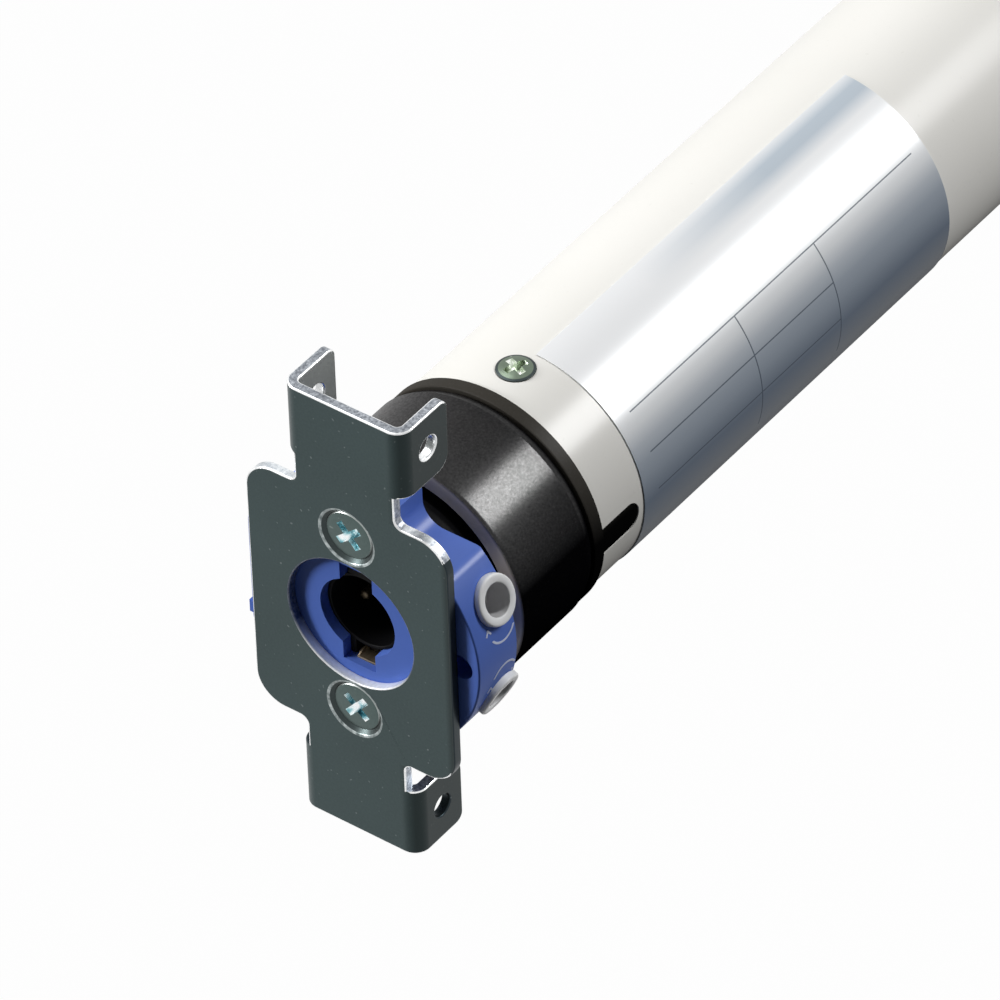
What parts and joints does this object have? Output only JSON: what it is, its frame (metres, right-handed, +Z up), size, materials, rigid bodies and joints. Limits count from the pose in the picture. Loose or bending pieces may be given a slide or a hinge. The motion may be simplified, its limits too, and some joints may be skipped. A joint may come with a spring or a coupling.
{
  "type": "tubular motor for a roller blind",
  "caption": "Tubular motor for a roller blind: steel bracket, blue head with cable socket and limit adjusters, turning crown, long round tube and flatted drive shaft.",
  "frame": {"origin": "centre of the bracket's front face, on the tube's axis", "axes": "+X along the tube from the bracket to the drive shaft, +Z up along the bracket, +Y away from the side that carries the adjusters"},
  "size_m": [0.4159, 0.038, 0.0726],
  "materials": {
    "bracket_coat": "dark grey-green coat on steel sheet, satin",
    "screw_steel": "bright zinc-plated steel",
    "blue_plastic": "royal blue moulded plastic, slight gloss",
    "black_plastic": "black moulded plastic, fine grain",
    "crown_plastic": "black moulded plastic, fine grain with a sheen",
    "white_plastic": "white moulded plastic",
    "tube_paint": "warm white gloss coat on steel",
    "label_foil": "silver-blue printed foil with blank panels",
    "contact_brass": "tinned brass",
    "bronze": "sintered bronze",
    "steel": "ground steel",
    "gear_steel": "sintered gear steel",
    "lamination": "stacked electrical steel",
    "copper": "enamelled copper wire",
    "cage_aluminium": "cast aluminium",
    "shield_aluminium": "turned aluminium",
    "cream_plastic": "natural acetal",
    "grey_plastic": "grey moulded plastic",
    "orange_plastic": "orange moulded plastic",
    "board_green": "green circuit board",
    "wire_red": "soft wire insulation",
    "film_yellow": "pale yellow film wrap",
    "lining": "brake lining"
  },
  "bodies": {
    "motor": {"bracket_plate": "bracket_coat", "bracket_screws": "screw_steel", "head_cover": "blue_plastic", "head_core": "black_plastic", "socket_insert": "black_plastic", "socket_contacts": "contact_brass", "tube_flange": "black_plastic", "motor_tube": "tube_paint", "tube_screws": "screw_steel", "rating_label": "label_foil", "limit_frame": "white_plastic", "terminal_board": "board_green", "lead_wires": "wire_red", "capacitor": "film_yellow", "capacitor_sleeve": "grey_plastic", "brake_plate": "steel", "front_shield": "shield_aluminium", "stator_core": "lamination", "stator_windings": "copper", "rotor_bearings": "bronze", "rear_shield": "shield_aluminium", "ring_gear": "gear_steel", "output_bearing": "bronze", "end_cap": "black_plastic"},
    "crown": {"crown_ring": "crown_plastic"},
    "pinion": {"limit_pinion": "cream_plastic"},
    "spindle_up": {"limit_spindle_up": "steel"},
    "spindle_down": {"limit_spindle_down": "steel"},
    "nut_up": {"limit_nut_up": "orange_plastic"},
    "nut_down": {"limit_nut_down": "orange_plastic"},
    "adjuster_up": {"adjuster_up": "white_plastic"},
    "adjuster_down": {"adjuster_down": "white_plastic"},
    "rod_up": {"adjust_rod_up": "steel"},
    "rod_down": {"adjust_rod_down": "steel"},
    "carriage_up": {"switch_carriage_up": "grey_plastic", "limit_switch_up": "black_plastic"},
    "carriage_down": {"switch_carriage_down": "grey_plastic", "limit_switch_down": "black_plastic"},
    "rotor": {"rotor_shaft": "steel", "rotor_core": "lamination", "rotor_cage": "cage_aluminium", "sun_gear_1": "gear_steel", "brake_spring": "steel"},
    "brake": {"brake_disc": "lining"},
    "carrier_1": {"carrier_1": "gear_steel", "sun_gear_2": "gear_steel"},
    "carrier_2": {"carrier_2": "gear_steel", "sun_gear_3": "gear_steel"},
    "output": {"output_shaft": "steel", "shaft_clip": "screw_steel"},
    "planet_1a": {"planet_1a": "cream_plastic"},
    "planet_1b": {"planet_1b": "cream_plastic"},
    "planet_1c": {"planet_1c": "cream_plastic"},
    "planet_2a": {"planet_2a": "gear_steel"},
    "planet_2b": {"planet_2b": "gear_steel"},
    "planet_2c": {"planet_2c": "gear_steel"},
    "planet_3a": {"planet_3a": "gear_steel"},
    "planet_3b": {"planet_3b": "gear_steel"},
    "planet_3c": {"planet_3c": "gear_steel"}
  },
  "joints": [
    {"name": "crown_spin", "type": "hinge", "parent": "motor", "child": "crown", "pos_m": [0.0211, 0, 0], "axis": [1, 0, 0], "range_deg": [-6480, 6480]},
    {"name": "pinion_spin", "type": "hinge", "parent": "motor", "child": "pinion", "pos_m": [0.026, 0.0096, 0], "axis": [1, 0, 0], "range_deg": [-23760, 23760]},
    {"name": "spindle_up_spin", "type": "hinge", "parent": "motor", "child": "spindle_up", "pos_m": [0.0481, 0.00462, 0.0075], "axis": [1, 0, 0], "range_deg": [-9139, 9139]},
    {"name": "nut_up_slide", "type": "slide", "parent": "motor", "child": "nut_up", "axis": [1, 0, 0], "range_m": [-0.0127, 0.0127]},
    {"name": "spindle_down_spin", "type": "hinge", "parent": "motor", "child": "spindle_down", "pos_m": [0.0481, 0.00462, -0.0075], "axis": [1, 0, 0], "range_deg": [-9139, 9139]},
    {"name": "nut_down_slide", "type": "slide", "parent": "motor", "child": "nut_down", "axis": [1, 0, 0], "range_m": [-0.0127, 0.0127]},
    {"name": "carriage_up_slide", "type": "slide", "parent": "motor", "child": "carriage_up", "axis": [1, 0, 0], "range_m": [-0.005, 0.005]},
    {"name": "rod_up_turn", "type": "hinge", "parent": "motor", "child": "rod_up", "pos_m": [0.0431, -0.00675, 0.00738], "axis": [1, 0, 0], "range_deg": [-901, 901]},
    {"name": "adjuster_up_turn", "type": "hinge", "parent": "motor", "child": "adjuster_up", "pos_m": [0.0073, -0.0137, 0.0061], "axis": [0, -0.9135, 0.4067], "range_deg": [-10810, 10810]},
    {"name": "carriage_down_slide", "type": "slide", "parent": "motor", "child": "carriage_down", "axis": [1, 0, 0], "range_m": [-0.005, 0.005]},
    {"name": "rod_down_turn", "type": "hinge", "parent": "motor", "child": "rod_down", "pos_m": [0.0431, -0.00675, -0.00738], "axis": [1, 0, 0], "range_deg": [-901, 901]},
    {"name": "adjuster_down_turn", "type": "hinge", "parent": "motor", "child": "adjuster_down", "pos_m": [0.0073, -0.0137, -0.0061], "axis": [0, -0.9135, -0.4067], "range_deg": [-10810, 10810]},
    {"name": "rotor_spin", "type": "hinge", "parent": "motor", "child": "rotor", "pos_m": [0.2371, 0, 0], "axis": [1, 0, 0], "continuous": true},
    {"name": "brake_release", "type": "slide", "parent": "rotor", "child": "brake", "axis": [1, 0, 0], "range_m": [0, 0.0005], "stiffness_N_per_m": 1000, "springref_m": -0.003},
    {"name": "carrier_1_spin", "type": "hinge", "parent": "motor", "child": "carrier_1", "pos_m": [0.3294, 0, 0], "axis": [1, 0, 0], "continuous": true},
    {"name": "carrier_2_spin", "type": "hinge", "parent": "motor", "child": "carrier_2", "pos_m": [0.3432, 0, 0], "axis": [1, 0, 0], "continuous": true},
    {"name": "output_spin", "type": "hinge", "parent": "motor", "child": "output", "pos_m": [0.3754, 0, 0], "axis": [1, 0, 0], "continuous": true},
    {"name": "planet_1a_spin", "type": "hinge", "parent": "carrier_1", "child": "planet_1a", "pos_m": [0.324, 0.0081, 0], "axis": [1, 0, 0], "continuous": true},
    {"name": "planet_1b_spin", "type": "hinge", "parent": "carrier_1", "child": "planet_1b", "pos_m": [0.324, -0.00405, 0.00702], "axis": [1, 0, 0], "continuous": true},
    {"name": "planet_1c_spin", "type": "hinge", "parent": "carrier_1", "child": "planet_1c", "pos_m": [0.324, -0.00405, -0.00702], "axis": [1, 0, 0], "continuous": true},
    {"name": "planet_2a_spin", "type": "hinge", "parent": "carrier_2", "child": "planet_2a", "pos_m": [0.3368, 0.0081, 0], "axis": [1, 0, 0], "continuous": true},
    {"name": "planet_2b_spin", "type": "hinge", "parent": "carrier_2", "child": "planet_2b", "pos_m": [0.3368, -0.00405, 0.00702], "axis": [1, 0, 0], "continuous": true},
    {"name": "planet_2c_spin", "type": "hinge", "parent": "carrier_2", "child": "planet_2c", "pos_m": [0.3368, -0.00405, -0.00702], "axis": [1, 0, 0], "continuous": true},
    {"name": "planet_3a_spin", "type": "hinge", "parent": "output", "child": "planet_3a", "pos_m": [0.3526, 0.0081, 0], "axis": [1, 0, 0], "continuous": true},
    {"name": "planet_3b_spin", "type": "hinge", "parent": "output", "child": "planet_3b", "pos_m": [0.3526, -0.00405, 0.00702], "axis": [1, 0, 0], "continuous": true},
    {"name": "planet_3c_spin", "type": "hinge", "parent": "output", "child": "planet_3c", "pos_m": [0.3526, -0.00405, -0.00702], "axis": [1, 0, 0], "continuous": true}
  ],
  "couplings": [
    {"joint": "pinion_spin", "follows": "crown_spin", "ratio": 3.6667},
    {"joint": "spindle_up_spin", "follows": "crown_spin", "ratio": -1.4103},
    {"joint": "nut_up_slide", "follows": "crown_spin", "m_per_rad": 0.00011222},
    {"joint": "spindle_down_spin", "follows": "crown_spin", "ratio": -1.4103},
    {"joint": "nut_down_slide", "follows": "crown_spin", "m_per_rad": 0.00011222},
    {"joint": "rod_up_turn", "follows": "carriage_up_slide", "rad_per_m": -3141.6},
    {"joint": "adjuster_up_turn", "follows": "carriage_up_slide", "rad_per_m": -37699},
    {"joint": "rod_down_turn", "follows": "carriage_down_slide", "rad_per_m": -3141.6},
    {"joint": "adjuster_down_turn", "follows": "carriage_down_slide", "rad_per_m": 37699},
    {"joint": "carrier_1_spin", "follows": "rotor_spin", "ratio": 0.18519},
    {"joint": "carrier_2_spin", "follows": "rotor_spin", "ratio": 0.034294},
    {"joint": "output_spin", "follows": "rotor_spin", "ratio": 0.0063507},
    {"joint": "planet_1a_spin", "follows": "rotor_spin", "ratio": -0.4793},
    {"joint": "planet_1b_spin", "follows": "rotor_spin", "ratio": -0.4793},
    {"joint": "planet_1c_spin", "follows": "rotor_spin", "ratio": -0.4793},
    {"joint": "planet_2a_spin", "follows": "rotor_spin", "ratio": -0.08876},
    {"joint": "planet_2b_spin", "follows": "rotor_spin", "ratio": -0.08876},
    {"joint": "planet_2c_spin", "follows": "rotor_spin", "ratio": -0.08876},
    {"joint": "planet_3a_spin", "follows": "rotor_spin", "ratio": -0.016437},
    {"joint": "planet_3b_spin", "follows": "rotor_spin", "ratio": -0.016437},
    {"joint": "planet_3c_spin", "follows": "rotor_spin", "ratio": -0.016437}
  ]
}
